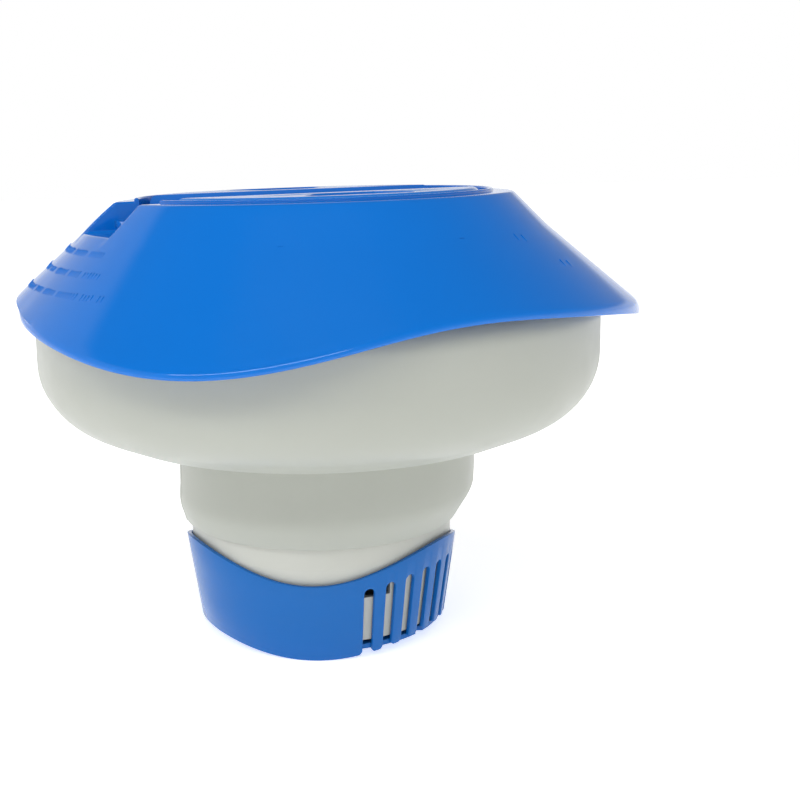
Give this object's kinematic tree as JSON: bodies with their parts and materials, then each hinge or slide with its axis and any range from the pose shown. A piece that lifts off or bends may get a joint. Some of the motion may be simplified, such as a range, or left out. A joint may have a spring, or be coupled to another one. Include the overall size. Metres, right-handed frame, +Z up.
{
  "type": "floating chlorine dispenser",
  "caption": "Floating pool chlorine dispenser: white ring float, blue wavy-skirted cover, twist-off lid and slotted turning flow collar.",
  "frame": {"origin": "on the dispenser's axis, at the plane that its foot rests on", "axes": "+Z up along the axis; -Y towards the viewer's side, with the thumb notch at the front left"},
  "size_m": [0.2595, 0.2616, 0.1883],
  "materials": {
    "float_white": "semi-gloss blow-moulded polyethylene",
    "cover_blue": "gloss moulded plastic",
    "lid_blue": "gloss moulded plastic",
    "collar_blue": "gloss moulded plastic",
    "button_blue": "satin moulded plastic",
    "throat_white": "satin moulded plastic",
    "tube_white": "satin moulded plastic",
    "basket_white": "satin moulded plastic",
    "grate_white": "satin moulded plastic",
    "seal_rubber": "smooth rubber",
    "screw_steel": "stainless",
    "washer_steel": "stainless",
    "spring_steel": "stainless wire",
    "ballast_iron": "coated casting"
  },
  "bodies": {
    "float": {"float_body": "float_white", "top_cover": "cover_blue", "throat_ring": "throat_white", "throat_gasket": "seal_rubber", "cover_screws": "screw_steel", "feed_tube": "tube_white", "tablet_basket": "basket_white", "tablet_grate": "grate_white", "ballast_ring": "ballast_iron", "lock_spring": "spring_steel"},
    "seal": {"lid_seal": "seal_rubber"},
    "lid": {"lid": "lid_blue"},
    "button": {"lock_button": "button_blue"},
    "collar": {"flow_collar": "collar_blue", "collar_washer": "washer_steel", "collar_screw": "screw_steel"}
  },
  "joints": [
    {"name": "lid_lift", "type": "slide", "parent": "float", "child": "seal", "axis": [0, 0, 1], "range_m": [0, 0.09]},
    {"name": "lid_twist", "type": "hinge", "parent": "seal", "child": "lid", "pos_m": [0, 0, 0.1705], "axis": [0, 0, 1], "range_deg": [-40, 0]},
    {"name": "lock_press", "type": "slide", "parent": "float", "child": "button", "axis": [0, 0, -1], "range_m": [0, 0.0018], "stiffness_N_per_m": 400, "springref_m": -0.001, "deforming": ["lock_spring"]},
    {"name": "collar_turn", "type": "hinge", "parent": "float", "child": "collar", "pos_m": [0, 0, 0.02], "axis": [0, 0, 1], "range_deg": [-60, 30]}
  ]
}
